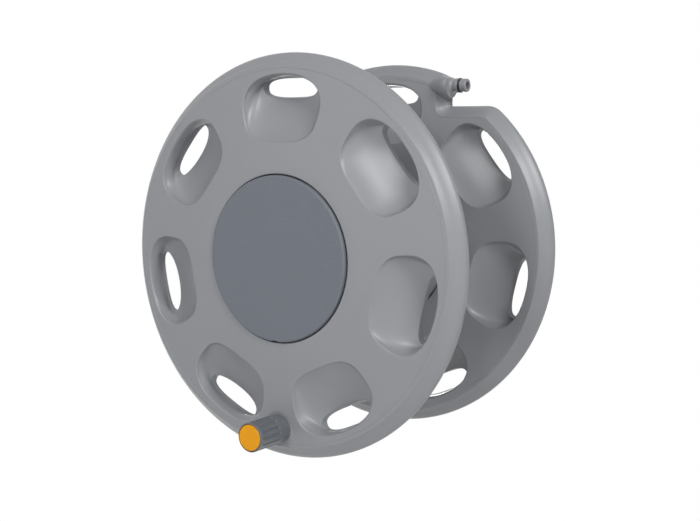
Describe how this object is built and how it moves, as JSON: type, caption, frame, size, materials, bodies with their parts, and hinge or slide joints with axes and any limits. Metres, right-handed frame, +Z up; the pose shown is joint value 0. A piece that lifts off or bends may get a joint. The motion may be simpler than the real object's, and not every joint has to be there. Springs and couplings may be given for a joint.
{
  "type": "wall mounted hose reel",
  "caption": "Wall mounted garden hose reel: a fixed dished rear flange with a side inlet and a winding drum with a dished front flange and a spinning knob.",
  "frame": {"origin": "on the drum axis at the wall, at the centre of the wall screw pattern", "axes": "+Z up, +Y into the wall, so the front faces -Y; +X to the right as seen from the front"},
  "size_m": [0.41, 0.2789, 0.41],
  "materials": {
    "flange_grey": "satin moulded polypropylene, fine grain",
    "cap_slate": "fine textured moulded plastic",
    "knob_grey": "satin moulded plastic",
    "cap_yellow": "satin-gloss orange-yellow plastic",
    "inner_grey": "dull moulded plastic",
    "seal_black": "smooth rubber",
    "slip_white": "waxy acetal",
    "steel": "plain zinc plated"
  },
  "bodies": {
    "mounting": {"wall_bracket": "inner_grey", "rear_flange": "flange_grey", "bracket_screws": "steel", "spindle": "inner_grey", "spindle_screws": "steel", "spindle_seals": "seal_black", "feed_elbow": "inner_grey", "feed_pipe": "inner_grey", "inlet_nipple": "flange_grey", "inlet_o_ring": "seal_black", "thrust_washer": "slip_white", "front_washer": "steel", "spring_clip": "steel"},
    "drum": {"front_flange": "flange_grey", "drum_barrel": "flange_grey", "bearing_webs": "inner_grey", "outlet_tray": "inner_grey", "drum_screws": "steel", "swivel_manifold": "inner_grey", "link_pipe": "inner_grey", "outlet_elbow": "inner_grey", "outlet_o_ring": "seal_black", "centre_cap": "cap_slate", "handle_pin": "steel", "pin_washer": "steel", "pin_screw": "steel"},
    "knob": {"winding_knob": "knob_grey", "knob_end_cap": "cap_yellow"}
  },
  "joints": [
    {"name": "drum_spin", "type": "hinge", "parent": "mounting", "child": "drum", "pos_m": [0, -0.13, 0], "axis": [0, 1, 0], "continuous": true},
    {"name": "knob_spin", "type": "hinge", "parent": "drum", "child": "knob", "pos_m": [0, -0.26, -0.1736], "axis": [0, 1, 0], "continuous": true}
  ]
}
